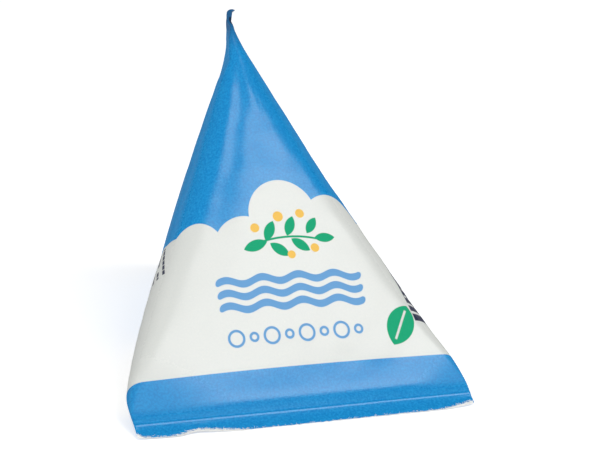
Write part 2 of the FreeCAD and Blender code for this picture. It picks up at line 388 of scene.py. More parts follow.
def paper_grid():
    """Places on the paper and points on the pack's skin, from the bottom cut edge to the top one."""
    rng = np.random.default_rng(PAPER_SEED)
    columns = paper_columns()
    seam = int(np.argmin(np.abs(columns * 2 * SEAL - OVERLAP_SEAM)))
    columns[seam + 1] = columns[seam] + SEAM_GAP
    around, z = np.meshgrid(columns, tube_rows())
    u = around * 2 * SEAL
    u = np.where(np.arange(len(columns)) > seam, u - 2 * SEAL, u)
    x, y = eased_section(around, z)

    # Both fins thin towards their cut edges; the bottom one keeps its back flat.
    fin = 1 - FIN_THINNING * step(-z, *BOTTOM_THINS)
    y = np.where(z < 0, FIN_HALF - (FIN_HALF - y) * fin, y)
    at_tip = bump(y + SEAL / 2, TIP_SWELL_DEPTH)
    thinning = FIN_THINNING * (1 - TIP_SWELL * at_tip) * step(z - RISE, *TOP_THINS)
    x = np.where(z > RISE, x * (1 - thinning), x)

    # The cut edges: torn at the front of the bottom fin, cleanly cut elsewhere.
    place, cut, bevel, shows = np.array(TORN_FRONT).T
    torn = np.interp(x[0], place, bevel)
    at_end = bump(np.abs(x[0]) - SEAL / 2, EVEN_ENDS)
    front = y[0] < FIN_HALF - (FIN_HALF * fin[0])
    uneven = FRONT_CUT + FRONT_TORN * torn
    front_edge = np.interp(x[0], place, cut) + uneven * ragged(x[0], rng, *FRONT_RAGGED)
    back_edge = -BOTTOM_FIN + BACK_UNEVEN * (1 + ragged(x[0], rng, *BACK_RAGGED))
    back_edge = np.maximum(back_edge, np.interp(x[0], place, cut - bevel - shows))
    bottom_edge = np.where(front, front_edge * (1 - at_end) + cut[-1] * at_end, back_edge)
    bottom_edge = np.maximum(bottom_edge, -BOTTOM_FIN - EDGE_OVERSHOOT)
    top_edge = RISE + TOP_FIN - TOP_UNEVEN + TOP_UNEVEN * ragged(y[-1], rng, *TOP_RAGGED)
    top_edge = top_edge + TIP_REACH * bump(y[-1] + SEAL / 2, TIP_CURL_DEPTH)
    low, high = ROWS_EVEN_ABOVE, ROWS_EVEN_BELOW
    z = np.where(z < low, low + (z - low) * (low - bottom_edge) / (BOTTOM_FIN + low), z)
    z = np.where(z > high, high + (z - high) * (top_edge - high) / (RISE + TOP_FIN - high), z)

    v = np.where(z > 0, z * PAPER_STRETCH, z)
    x = pull_and_pinch(x, y, z, u)
    x, y, z = push_out(x, y, z, skin_relief(u, v, z, rng))
    pressed = EMBOSS_HEIGHT * bump(z + EMBOSS_AT, EMBOSS_WIDTH)
    y = y - np.where(y < BACK_FROM, 1, -EMBOSS_BACK) * pressed
    side = np.where(x > 0, 1, -1)
    x = x + side * EMBOSS_HEIGHT * bump(z - RISE - EMBOSS_AT, EMBOSS_WIDTH)
    length, phase = BOTTOM_FIN_WAVE
    y = y + BOTTOM_FIN_SWAY * step(-z, 0, BOTTOM_FIN) * np.sin(x / length + phase)
    torn_bevel = torn * (1 + BEVEL_UNEVEN * ragged(x[0], rng, *BEVEL_RAGGED))
    bevels = np.where(front, torn_bevel, CLEAN_BEVEL)
    return dict(u=u, v=v, x=x, y=y, z=z, seam=seam, front=front, bevel=np.clip(bevels, *BEVEL_LIMITS))


def cut_edge(skin, row, across, partner, bevel, inward):
    """Rings that turn a fin's skin in over its two cut plies and down into the groove between them."""
    points = [skin["x"][row], skin["y"][row], skin["z"][row]]
    middle = (points[across] + points[across][partner]) / 2
    half = points[across] - middle
    depth = points[2] * inward
    groove = np.maximum(depth, depth[partner]) + GROOVE_DEPTH
    cuts = [(share, points[2] - inward * (bevels * bevel + drop)) for share, bevels, drop in CUT_PROFILE]
    rings = []
    for share, height in [*cuts, (GROOVE_SHARE, inward * groove)]:
        ring = [points[0], points[1], height]
        ring[across] = middle + half * share
        rings.append(ring)
    closed = [(p + p[partner]) / 2 for p in points[:2]] + [inward * (groove + GROOVE_CLOSES)]
    rings.append(closed)
    for ring in rings:  # keeps the turned-in rings inside the folded ends
        along = 1 - across
        reach = np.abs(points[along]).max() - FOLD_INSET
        ring[along] = np.clip(ring[along], -reach, reach)
    return rings


def paper_shell(skin):
    """All the rings of the closed skin, with their places on the paper."""
    count = skin["x"].shape[1]
    column = np.arange(count)
    across_bottom = (count // 2 - column) % count
    across_top = (-column) % count
    below = cut_edge(skin, 0, 1, across_bottom, skin["bevel"], 1)
    above = cut_edge(skin, -1, 0, across_top, np.full(count, CLEAN_BEVEL), -1)
    body = list(zip(skin["x"], skin["y"], skin["z"]))
    x, y, z = np.array(below[::-1] + body + above).transpose(1, 0, 2)
    x, z = curl_tip(x, y, z)
    x = bend_top_fin(x, y, z)
    points = lay_at_rest(x, y, z)
    turned_in = TURNED_IN * np.arange(1, len(below) + 1)[:, None]
    v = np.concatenate([skin["v"][0] - turned_in[::-1], skin["v"], skin["v"][-1] + turned_in])
    u = np.concatenate([skin["u"][:1]] * len(below) + [skin["u"]] + [skin["u"][-1:]] * len(above))
    return points, u, v, len(below), (across_bottom, across_top), skin["seam"]


SHARP_FROM = 50  # degrees between two faces from which their shared edge looks sharp
BAKE_MARGIN = 0.001  # share of the baked picture left free at each side


def add_object(name, data):
    """Puts a mesh, camera or lamp in the scene."""
    made = bpy.data.objects.new(name, data)
    bpy.context.collection.objects.link(made)
    return made


def add_places(mesh, name, across, up):
    """A layer that holds a flat place for each corner of each face."""
    layer = mesh.uv_layers.new(name=name)
    layer.data.foreach_set("uv", np.stack([across, up], -1).ravel().astype(np.float32))
    return layer


def inside_unit(values):
    """The values scaled to run from 0 to 1, less a margin at both ends."""
    return (values - values.min()) / np.ptp(values) * (1 - 2 * BAKE_MARGIN) + BAKE_MARGIN


def make_pack_skin(skin, coated, raw):
    """The whole pack as one closed skin: printed paper outside, raw paper at its cut edges."""
    points, u, v, rim, partners, seam = paper_shell(skin)
    rows, count = u.shape
    number = np.arange(rows * count).reshape(rows, count)
    for row, partner in zip((0, rows - 1), partners):
        number[row] = np.minimum(number[row], number[row][partner])
    kept, number = np.unique(number, return_inverse=True)
    number = number.reshape(rows, count)
    after = np.roll(np.arange(count), -1)
    low, high = np.arange(rows - 1)[:, None], np.arange(1, rows)[:, None]
    here = np.arange(count)[None]
    corners = ((low, here), (low, after), (high, after), (high, here))
    quads = np.stack([number[corner] for corner in corners], -1).reshape(-1, 4)

    mesh = bpy.data.meshes.new("milk_pack_skin")
    mesh.from_pydata(points.reshape(-1, 3)[kept].tolist(), [], quads.tolist())
    mesh.materials.append(coated)
    mesh.materials.append(raw)
    is_raw = np.zeros((rows - 1, count), bool)
    is_raw[: rim - 1] = True
    is_raw[rows - rim :] = True
    is_raw[:, seam] = True
    mesh.polygons.foreach_set("material_index", is_raw.ravel().astype(np.int32))
    mesh.polygons.foreach_set("use_smooth", np.ones(len(quads), bool))

    right = np.where(np.arange(count) == seam, u + SEAM_CUT, u[:, after])
    right = np.where(np.arange(count) == count - 1, 0.0, right)
    corner_u = np.stack([u[:-1], right[:-1], right[1:], u[1:]], -1).ravel()
    corner_v = np.stack([v[:-1], v[:-1][:, after], v[1:][:, after], v[1:]], -1).ravel()
    paper = add_places(mesh, "paper", corner_u, corner_v)
    add_places(mesh, "OFBake", inside_unit(corner_u), inside_unit(corner_v))
    mesh.uv_layers.active = paper
    paper.active_render = True
    mesh.validate()
    mesh.set_sharp_from_angle(angle=math.radians(SHARP_FROM))
    return add_object("milk_pack_skin", mesh)


FIBRE_BUNDLES = (  # from and to along the bottom seal, and how many fibres stand out there
    (-18.0, -13.0, 190), (-13.0, -8.4, 120), (-22.8, -18.0, 60), (-8.4, 18.0, 110), (18.4, 23.0, 80),
)
FIBRE_SEED = 7
FIBRE_LENGTHS, FIBRE_SHARES = (0.16, 0.60), (0.5, 1.0)  # each fibre's length is one times the other
FIBRE_RADIUS, FIBRE_TAPER = 0.026, 0.8
FIBRE_STEPS, FIBRE_SIDES = 4, 3
FIBRE_SWING, FIBRE_TURN, FIBRE_LIFT = (0, 1.1), (0, 1.2), (0.15, 0.25)  # mean and spread
FIBRE_ROOTS = (-0.08, 0.22)  # how far over the torn edge a fibre starts


def make_torn_fibres(skin, raw):
    """The loose fibres along the torn front ply of the bottom fin, each a thin bent hair."""
    rng = np.random.default_rng(FIBRE_SEED)
    front = np.nonzero(skin["front"])[0]
    front = front[np.argsort(skin["x"][0][front])]
    edge_x, edge_y, edge_z = (skin[axis][0][front] for axis in "xyz")
    points, faces, places = [], [], []
    for low, high, count in FIBRE_BUNDLES:
        for start in rng.uniform(low, high, count):
            length = rng.uniform(*FIBRE_LENGTHS) * rng.uniform(*FIBRE_SHARES)
            swing, turn, lift = (rng.normal(*way) for way in (FIBRE_SWING, FIBRE_TURN, FIBRE_LIFT))
            first = len(points)
            out = np.interp(start, edge_x, edge_y) - FIBRE_RADIUS
            root = np.interp(start, edge_x, edge_z) + rng.uniform(*FIBRE_ROOTS)
            centre = np.array([start, out, root])
            for ring in range(FIBRE_STEPS + 1):
                share = ring / FIBRE_STEPS
                heading = swing + turn * share
                radius = FIBRE_RADIUS * (1 - FIBRE_TAPER * share)
                ring_start = first + FIBRE_SIDES * ring
                for corner in range(FIBRE_SIDES):
                    angle = 2 * math.pi * corner / FIBRE_SIDES
                    level = math.cos(angle)
                    side = (level * math.cos(heading), math.sin(angle), level * math.sin(heading))
                    points.append(centre + radius * np.array(side))
                    places.append((start, centre[2]))
                    if ring:
                        here, after = ring_start + corner, ring_start + (corner + 1) % FIBRE_SIDES
                        faces.append((here - FIBRE_SIDES, after - FIBRE_SIDES, after, here))
                ahead = np.array([math.sin(heading), -lift * share, -math.cos(heading)])
                centre = centre + ahead * length / FIBRE_STEPS
            faces.append((first + 2, first + 1, first))
            last = first + FIBRE_SIDES * FIBRE_STEPS
            faces.append((last, last + 1, last + 2))
    points = np.array(points)
    mesh = bpy.data.meshes.new("torn_fibres")
    mesh.from_pydata(lay_at_rest(*points.T).tolist(), [], faces)
    corners = np.zeros(len(mesh.loops), np.int32)
    mesh.loops.foreach_get("vertex_index", corners)
    add_places(mesh, "paper", *np.array(places)[corners].T)
    mesh.materials.append(raw)
    return add_object("torn_fibres", mesh)


# ---------------------------------------------------------------------------
# Finishes
# ---------------------------------------------------------------------------
def from_screen(red, green, blue):
    """A colour as a screen shows it, 0 to 255, as a linear colour."""
    channels = [c / 255 for c in (red, green, blue)]
    return (*[c / 12.92 if c <= 0.04045 else ((c + 0.055) / 1.055) ** 2.4 for c in channels], 1.0)


# Printed colours, and the paler tones that the board's mottle brings in.
SKY_BLUE, SKY_BLUE_PALE = from_screen(4, 132, 203), from_screen(28, 158, 222)
CLOUD_WHITE, CLOUD_WHITE_PALE = from_screen(222, 225, 221), from_screen(230, 231, 225)
BOARD_WHITE, BOARD_WHITE_PALE = from_screen(240, 240, 238), from_screen(252, 252, 250)
PRINT_BLUE = from_screen(108, 166, 218)
PRINT_GREEN = from_screen(0, 168, 118)
PRINT_YELLOW = from_screen(249, 200, 94)
PRINT_SLATE = from_screen(58, 62, 84)
# Painted shade for the curled tip of the top fin, and a painted shadow for the slit in its curl.
TIP_SHADE_COLOUR, SLIT_SHADOW_COLOUR = from_screen(36, 82, 128), from_screen(10, 40, 74)

PRINT_EDGE = 0.05  # softness of a printed edge, in millimetres


class Wiring:
    """Adds nodes to one tree and joins them up."""

    def __init__(self, tree):
        self.tree = tree

    def node(self, kind, **settings):
        made = self.tree.nodes.new(kind)
        for name, value in settings.items():
            setattr(made, name, value)
        return made

    def feed(self, socket, value):
        """Links another node's output to a socket, or sets the socket to a constant."""
        if isinstance(value, bpy.types.NodeSocket):
            self.tree.links.new(value, socket)
        else:
            socket.default_value = value

    def feed_all(self, node, values):
        """Feeds a node's first sockets in order."""
        for socket, value in zip(node.inputs, values):
            self.feed(socket, value)
        return node.outputs

    def math(self, operation, *values):
        return self.feed_all(self.node("ShaderNodeMath", operation=operation), values)[0]

    def chain(self, operation, values):
        """One operation after another over all the values."""
        result = values[0]
        for value in values[1:]:
            result = self.math(operation, result, value)
        return result

    def most(self, *values):
        """The highest of several masks."""
        return self.chain("MAXIMUM", values)

    def product(self, *values):
        return self.chain("MULTIPLY", values)

    def total(self, *values):
        return self.chain("ADD", values)

    def less(self, value, taken_off):
        return self.math("SUBTRACT", value, taken_off)

    def size(self, value):
        """A value without its sign."""
        return self.math("ABSOLUTE", value)

    def vector(self, operation, *values):
        results = self.feed_all(self.node("ShaderNodeVectorMath", operation=operation), values)
        return results["Value" if operation in ("LENGTH", "DISTANCE") else "Vector"]

    def place(self, x, y):
        return self.feed_all(self.node("ShaderNodeCombineXYZ"), (x, y))[0]

    def parts(self, vector):
        """X, Y and Z of a vector."""
        return tuple(self.feed_all(self.node("ShaderNodeSeparateXYZ"), (vector,)))

    def spread(self, value, low, high, to_low=0.0, to_high=1.0):
        """A smooth step from to_low at low to to_high at high."""
        made = self.node("ShaderNodeMapRange", interpolation_type="SMOOTHSTEP")
        return self.feed_all(made, (value, low, high, to_low, to_high))[0]

    def noise(self, vector, scale, detail, roughness, stretch=None):
        if stretch:
            vector = self.vector("MULTIPLY", vector, stretch)
        made = self.node("ShaderNodeTexNoise")
        titles = ("Vector", "Scale", "Detail", "Roughness")
        for title, value in zip(titles, (vector, scale, detail, roughness)):
            self.feed(made.inputs[title], value)
        return made.outputs["Fac"]

    def tint(self, share, under, over):
        """A colour with a share of another laid over it."""
        made = self.node("ShaderNodeMix", data_type="RGBA")
        self.feed(made.inputs[0], share)
        self.feed(made.inputs[6], under)
        self.feed(made.inputs[7], over)
        return made.outputs[2]

    def use(self, group, **values):
        """The results of an effect for these values."""
        made = self.node("ShaderNodeGroup")
        made.node_tree = group
        for name, value in values.items():
            self.feed(made.inputs[name.replace("_", " ")], value)
        return made.outputs

    def from_middle(self, paper, middle, turn=None):
        """How far a place is from a shape's middle, across and up on the paper or on the turned shape."""
        away = self.vector("SUBTRACT", paper, middle)
        if turn is not None:
            turned = self.node("ShaderNodeVectorRotate", rotation_type="Z_AXIS")
            self.feed(turned.inputs["Vector"], away)
            self.feed(turned.inputs["Angle"], self.product(turn, -1.0))
            away = turned.outputs[0]
        return self.parts(away)[:2]

    def printed(self, inside, edge=PRINT_EDGE):
        """A mask with the soft edge of a print, from the way inside a shape's outline."""
        return self.spread(inside, -edge, edge)

    def stroke(self, weight, off, edge=PRINT_EDGE):
        """A mask for a stroke of this weight, from how far places lie off its middle line."""
        return self.printed(self.less(self.product(weight, 0.5), off), edge)


def effect(name, results, has_middle=True, **values):
    """Makes a node group of a function that wires masks from a place on the paper and these values."""
    places = ("Paper", "Middle") if has_middle else ("Paper",)
    numbers = {title.replace("_", " "): value for title, value in values.items()}

    def build(wire_masks):
        group = bpy.data.node_groups.new(name, "ShaderNodeTree")
        for title in places:
            group.interface.new_socket(title, in_out="INPUT", socket_type="NodeSocketVector")
        for title, value in numbers.items():
            socket = group.interface.new_socket(title, in_out="INPUT", socket_type="NodeSocketFloat")
            socket.default_value = value
        for title in results:
            group.interface.new_socket(title, in_out="OUTPUT", socket_type="NodeSocketFloat")
        wire = Wiring(group)
        given = wire.node("NodeGroupInput").outputs
        shown = wire.node("NodeGroupOutput").inputs
        masks = wire_masks(wire, *[given[title] for title in (*places, *numbers)])
        for title, mask in zip(results, masks):
            wire.feed(shown[title], mask)
        return group

    return build


CLOUDS = (  # middle and radius of each round cloud top on the paper
    (-55.5, 20.6, 4.6), (-48.6, 23.3, 5.0), (-41.6, 20.4, 4.4), (-34.8, 22.8, 4.9), (-28.2, 20.0, 4.3),
    (-20.2, 15.1, 10.0), (-16.4, 14.0, 9.85), (-23.2, 20.2, 4.6), (-10.9, 20.3, 3.9), (-4.3, 20.1, 4.0),
    (1.6, 24.0, 4.7), (8.6, 22.3, 4.45), (14.9, 19.6, 4.5), (21.2, 22.7, 4.9), (27.4, 20.2, 4.3),
    (33.0, 22.4, 4.6),
)
CLOUD_FLOOR = 20.6  # height on the paper below which the clouds are one white field
BAND_TOP = 3.85  # height up to which the blue band reaches
RIB_SIDE = (0.20, 0.12)  # ways from a leaf's middle line between which its rib fades
RIB_END = (0.38, 0.34)  # and shares of the leaf's length from its middle
ROW_SHIFT = 0.37  # share of a dash by which each row is set off from the last
DASH_EDGE = 0.03  # softness of a dash's sides
DASH_END = (0.46, 0.40)  # shares of a dash's cell, from its middle, between which its ends fade
COARSE_SCALE, COARSE_SHARE = 0.22, 0.15  # scale and share of the mottle's coarser part
STRAND_STRETCH, STRAND_SHARE = (0.35, 1.6, 1.0), 0.6  # the relief's long strands


@effect("cloud bank", ["White"], has_middle=False)
def cloud_bank(wire, paper):
    """White below a bank of round clouds."""
    height = wire.parts(paper)[1]
    masks = [wire.spread(height, CLOUD_FLOOR + PRINT_EDGE, CLOUD_FLOOR - PRINT_EDGE)]
    for middle, up, radius in CLOUDS:
        far = wire.vector("DISTANCE", paper, (middle, up, 0))
        masks.append(wire.spread(far, radius + PRINT_EDGE, radius - PRINT_EDGE))
    return [wire.most(*masks)]


@effect("printed leaf", ["Leaf", "Rib"], Turn=0.0, Length=3.0, Width=1.2)
def pointed_leaf(wire, paper, middle, turn, length, width):
    """A pointed leaf with a pale rib, drawn by two crossing arcs."""
    along, aside = wire.from_middle(paper, middle, turn)
    aside = wire.size(aside)
    squares = wire.math("MULTIPLY_ADD", length, length, wire.product(width, width))
    radius = wire.math("DIVIDE", squares, wire.product(width, 4.0))
    offset = wire.math("MULTIPLY_ADD", width, -0.5, radius)
    far = wire.vector("LENGTH", wire.place(along, wire.total(aside, offset)))
    reach = wire.math("DIVIDE", wire.size(along), length)
    rib = wire.product(wire.spread(aside, *RIB_SIDE), wire.spread(reach, *RIB_END))
    return wire.printed(wire.less(radius, far)), rib


@effect("printed dot", ["Dot"], Radius=0.5)
def round_dot(wire, paper, middle, radius):
    """A plain round dot."""
    return [wire.printed(wire.less(radius, wire.vector("DISTANCE", paper, middle)))]


@effect("printed waves", ["Waves"], Length=20.0, Spacing=1.7, Weight=0.9, Swing=0.35, Wave=5.0)
def wavy_ribbons(wire, paper, middle, length, spacing, weight, swing, wave):
    """Three wavy ribbons, one over another, with round ends."""
    along, up = wire.from_middle(paper, middle)
    phase = wire.product(wire.math("DIVIDE", along, wave), 2 * math.pi)
    up = wire.less(up, wire.product(wire.math("SINE", phase), swing))
    row = wire.math("ROUND", wire.math("DIVIDE", up, spacing))
    row = wire.most(wire.math("MINIMUM", row, 1.0), -1.0)
    off = wire.less(up, wire.product(row, spacing))
    past = wire.most(wire.less(wire.size(along), wire.product(length, 0.5)), 0.0)
    return [wire.stroke(weight, wire.vector("LENGTH", wire.place(past, off)))]


@effect(
    "rows of dashes", ["Dashes"], Turn=0.0, Half_length=5.0, Half_height=2.0, Spacing=1.0, Weight=0.4,
    Dash=1.2, Gaps=0.25,
)
def rows_of_dashes(wire, paper, middle, turn, half_length, half_height, spacing, weight, dash, gaps):
    """Rows of plain dashes in a rectangle, with some left out by chance."""
    along, up = wire.from_middle(paper, middle, turn)
    rows = wire.math("DIVIDE", up, spacing)
    row = wire.math("ROUND", rows)
    off = wire.size(wire.product(wire.less(rows, row), spacing))
    shifted = wire.math("MULTIPLY_ADD", row, ROW_SHIFT, wire.math("DIVIDE", along, dash))
    within = wire.size(wire.less(wire.math("FRACT", shifted), 0.5))
    chance = wire.node("ShaderNodeTexWhiteNoise", noise_dimensions="2D")
    wire.feed(chance.inputs["Vector"], wire.place(wire.math("FLOOR", shifted), row))
    kept = wire.math("GREATER_THAN", chance.outputs["Value"], gaps)
    inside_long = wire.math("LESS_THAN", wire.size(along), half_length)
    inside_high = wire.math("LESS_THAN", wire.size(up), half_height)
    line = wire.stroke(weight, off, DASH_EDGE)
    return [wire.product(kept, line, wire.spread(within, *DASH_END), inside_long, inside_high)]


@effect("row of rings", ["Rings"], Half_length=9.6, Spacing=3.2, Radius=1.1, Weight=0.3)
def row_of_rings(wire, paper, middle, half_length, spacing, radius, weight):
    """A row of thin rings, a large and a small one in turn, like bubbles."""
    along, up = wire.from_middle(paper, middle)
    inside_row = wire.math("LESS_THAN", wire.size(along), half_length)
    cells = wire.math("DIVIDE", along, spacing)
    within = wire.product(wire.less(wire.math("FRACT", cells), 0.5), spacing)
    half_if_odd = wire.math("FRACT", wire.product(wire.math("FLOOR", cells), 0.5))
    radius = wire.product(radius, wire.less(1.0, half_if_odd))
    off = wire.size(wire.less(wire.vector("LENGTH", wire.place(within, up)), radius))
    return [wire.product(wire.stroke(weight, off), inside_row)]


@effect("printed stem", ["Stem"], Radius=12.0, Weight=0.3, From=-4.0, To=6.0)
def curved_stem(wire, paper, middle, radius, weight, start, end):
    """A thin curved stem: the top of a large circle between two places round the pack."""
    off = wire.size(wire.less(wire.vector("DISTANCE", paper, middle), radius))
    around = wire.parts(paper)[0]
    after = wire.math("GREATER_THAN", around, start)
    before = wire.math("LESS_THAN", around, end)
    upper = wire.math("GREATER_THAN", wire.from_middle(paper, middle)[1], 0.0)
    return [wire.product(wire.stroke(weight, off), after, before, upper)]


@effect("printed panel", ["Panel"], Half_width=5.0, Half_height=5.0, Spread=0.0)
def flared_panel(wire, paper, middle, half_width, half_height, spread):
    """A plain panel whose sides spread a little towards its top."""
    along, up = wire.from_middle(paper, middle)
    beside = wire.less(wire.math("MULTIPLY_ADD", up, spread, half_width), wire.size(along))
    above = wire.less(half_height, wire.size(up))
    return [wire.printed(wire.math("MINIMUM", beside, above))]


@effect("paper fibres", ["Mottle", "Height"], has_middle=False, Grain=4.0)
def board_fibres(wire, paper, grain):
    """The fibres of the board: a fine mottle and a height for relief."""
    fine = wire.noise(paper, grain, 3.0, 0.65)
    coarse = wire.noise(paper, wire.product(grain, COARSE_SCALE), 2.0, 0.5)
    strands = wire.noise(paper, grain, 1.0, 0.5, stretch=STRAND_STRETCH)
    return [
        wire.math("MULTIPLY_ADD", other, share, wire.product(fine, 1 - share))
        for other, share in ((coarse, COARSE_SHARE), (strands, STRAND_SHARE))
    ]


def paper_place(wire):
    """Where the surface is on the flat paper, in millimetres."""
    return wire.node("ShaderNodeUVMap", uv_map="paper").outputs[0]


def new_finish(name, **values):
    """A material with one Principled shader whose constant values are set on its own sockets."""
    material = bpy.data.materials.new(name)
    material.use_nodes = True
    shader = material.node_tree.nodes["Principled BSDF"]
    for title, value in values.items():
        shader.inputs[title.replace("_", " ")].default_value = value
    return material, Wiring(material.node_tree), shader.inputs


def relief(wire, shader, height, strength, distance):
    """Turns a height that changes over the surface into the shader's normal."""
    made = wire.node("ShaderNodeBump")
    made.inputs["Strength"].default_value = strength
    made.inputs["Distance"].default_value = distance
    wire.feed(made.inputs["Height"], height)
    wire.feed(shader["Normal"], made.outputs[0])


WAVE_SETS = ((0.95, 13.6, 19.2, 1.0), (-45.5, 12.4, 16.0, 0.9))  # middle on the paper, length, weight
SPRIG_LEAVES = (  # middle on the paper, turn in degrees, length and width of each leaf
    (-2.9, 19.9, 14, 3.4, 1.5), (-0.7, 21.7, 62, 3.0, 1.4), (0.3, 19.1, -38, 3.0, 1.4),
    (2.2, 22.2, 66, 2.9, 1.35), (3.3, 19.6, -36, 2.9, 1.35), (5.2, 22.2, 54, 2.7, 1.25),
    (6.8, 20.5, 2, 2.9, 1.3),
)
LEAF_MARK = (15.35, 8.25, 62, 6.1, 3.7)
SPRIG_BERRIES = (  # middle on the paper and radius
    (-2.6, 22.3, 0.62), (0.8, 23.6, 0.70), (3.9, 23.9, 0.62), (1.8, 18.3, 0.55), (5.2, 19.1, 0.6),
)
RING_ROW = dict(across=0.9, up=7.95, Half_length=9.6, Spacing=2.4, Radius=1.0, Weight=0.34)
SPRIG_STEM = dict(across=1.9, up=2.6, Radius=18.15, Weight=0.28, From=-3.6, To=6.4)
EDGE_DASHES = dict(
    across=-22.6, up=21.2, Turn=math.pi / 2, Half_length=2.4, Half_height=7.2, Spacing=1.15,
    Weight=0.42, Dash=0.9, Gaps=0.3,
)
SIDE_PANEL = dict(across=23.25, up=14.0, Half_width=6.55, Half_height=5.2, Spread=0.173)
PANEL_DASHES = dict(
    across=23.25, up=14.0, Half_length=6.2, Half_height=4.4, Spacing=1.3, Weight=0.42, Dash=2.1, Gaps=0.15
)
COATED_GRAIN, RAW_GRAIN = 3.2, 9.0  # how fine the fibres look
COATED_MOTTLE, RAW_MOTTLE = (0.38, 0.62), (0.3, 0.7)  # the mottle goes from 0 to 1 between these
SKY_MOTTLED, BOARD_MOTTLED = 0.8, 0.3  # share of the pale colour at the mottle's height
COATED_RELIEF, RAW_RELIEF = (0.25, 0.00004), (0.6, 0.00008)  # strength and height of the grain
COATING_DULLNESS, MOTTLE_DULLNESS = 0.14, 0.20
INK_DULLNESS = 0.60  # roughness that the ornaments' inks add
TIP_SHADE_HEIGHTS = (48.0, 55.0)  # between these heights on the paper the sky takes on a painted shade towards the curled end
TIP_SHADE_REACH, TIP_SHADE_SHARE = (3.0, 0.5), 0.8  # how far round it reaches, and how strong it gets
TIP_SLIT_SHADOW = (0.13, 54.6)  # middle of the painted shadow, a dark slit in the curl
SLIT_SHADOW_SIDES, SLIT_SHADOW_ENDS = (0.225, 0.075), (1.02, 0.68)  # ways from its middle between which it fades
WORN_ENDS = ((-22.0, 4.0, 15.0), (23.6, 3.5, 9.0))  # place round the pack, and ways where it fades
WORN_SLANT = 1.2  # how much narrower the rubbed places get for each millimetre up the band
WORN_FROM, WORN_TO = (-1.0, 0.3), (5.0, 9.0)  # heights where the rubbing starts and where it ends
WORN_DULLNESS = 0.30
GRAZING, GRAZING_DULLNESS = (0.30, 0.75), 0.6  # the coating is satin, not mirror-like, at low angles


def coated_print():
    """Coated paper printed with clouds over a blue sky, and plain ornaments on the white."""
    finish, wire, shader = new_finish("printed_coated_paper", Specular_IOR_Level=0.48)
    paper = paper_place(wire)
    fibres = wire.use(board_fibres, Paper=paper, Grain=COATED_GRAIN)

    def shape(group, across, up, **values):
        """One of the printed shapes, with its middle at this place on the paper."""
        return wire.use(group, Paper=paper, Middle=(across, up, 0), **values)

    def leaf(across, up, turn, length, width):
        return shape(pointed_leaf, across, up, Turn=math.radians(turn), Length=length, Width=width)

    above_band = wire.spread(wire.parts(paper)[1], BAND_TOP - PRINT_EDGE, BAND_TOP + PRINT_EDGE)
    white = wire.product(wire.use(cloud_bank, Paper=paper)["White"], above_band)
    mottle = wire.spread(fibres["Mottle"], *COATED_MOTTLE)
    sky = wire.tint(wire.product(mottle, SKY_MOTTLED), SKY_BLUE, SKY_BLUE_PALE)
    board = wire.tint(wire.product(mottle, BOARD_MOTTLED), CLOUD_WHITE, CLOUD_WHITE_PALE)
    # The sky carries a painted shade at the top fin's curled tip and a painted shadow in its curl.
    colour = wire.tint(white, painted_tip_shade(wire, paper, sky), board)

    lines = [
        shape(wavy_ribbons, across, up, Length=length, Weight=weight)["Waves"]
        for across, up, length, weight in WAVE_SETS
    ]
    lines.append(shape(row_of_rings, **RING_ROW)["Rings"])
    colour = wire.tint(wire.most(*lines), colour, PRINT_BLUE)

    leaves = [shape(curved_stem, **SPRIG_STEM)["Stem"]]
    leaves += [leaf(*sizes)["Leaf"] for sizes in SPRIG_LEAVES]
    mark = leaf(*LEAF_MARK)
    leaves.append(mark["Leaf"])
    colour = wire.tint(wire.most(*leaves), colour, PRINT_GREEN)
    colour = wire.tint(mark["Rib"], colour, board)
    berries = [shape(round_dot, across, up, Radius=radius)["Dot"] for across, up, radius in SPRIG_BERRIES]
    colour = wire.tint(wire.most(*berries), colour, PRINT_YELLOW)

    rows = shape(rows_of_dashes, **EDGE_DASHES)["Dashes"]
    panel = shape(flared_panel, **SIDE_PANEL)["Panel"]
    pale_rows = shape(rows_of_dashes, **PANEL_DASHES)["Dashes"]
    colour = wire.tint(wire.most(rows, panel), colour, PRINT_SLATE)
    colour = wire.tint(wire.product(panel, pale_rows), colour, board)
    wire.feed(shader["Base Color"], colour)

    gloss = wire.math("MULTIPLY_ADD", fibres["Mottle"], MOTTLE_DULLNESS, COATING_DULLNESS)
    inks = wire.product(wire.most(*lines, *leaves, *berries), INK_DULLNESS)
    facing = wire.node("ShaderNodeLayerWeight").outputs["Facing"]
    grazing = wire.spread(facing, *GRAZING, 0.0, GRAZING_DULLNESS)
    wire.feed(shader["Roughness"], wire.total(gloss, inks, worn_ends(wire, paper), grazing))
    relief(wire, shader, fibres["Height"], *COATED_RELIEF)
    return finish


def painted_tip_shade(wire, paper, sky):
    """Painted shade: the sky darkens towards the curled end of the top fin, and a painted shadow lies as a
    dark slit in its curl.
    """
    around, height = wire.parts(paper)[:2]
    near_end = wire.spread(wire.size(around), *TIP_SHADE_REACH)
    tip_shade = wire.product(wire.spread(height, *TIP_SHADE_HEIGHTS), near_end, TIP_SHADE_SHARE)
    place, middle = TIP_SLIT_SHADOW
    across_slit_shadow = wire.spread(wire.size(wire.less(around, place)), *SLIT_SHADOW_SIDES)
    slit_shadow = wire.product(across_slit_shadow, wire.spread(wire.size(wire.less(height, middle)), *SLIT_SHADOW_ENDS))
    return wire.tint(slit_shadow, wire.tint(tip_shade, sky, TIP_SHADE_COLOUR), SLIT_SHADOW_COLOUR)


def worn_ends(wire, paper):
    """Extra roughness where handling has rubbed the coating at both ends of the bottom band."""
    around, height = wire.parts(paper)[:2]
    rubbed = []
    for middle, near, far in WORN_ENDS:
        away = wire.math("MULTIPLY_ADD", height, WORN_SLANT, wire.size(wire.less(around, middle)))
        rubbed.append(wire.spread(away, near, far, WORN_DULLNESS, 0.0))
    on_band = wire.product(wire.spread(height, *WORN_FROM), wire.spread(height, *WORN_TO, 1.0, 0.0))
    return wire.product(wire.most(*rubbed), on_band)


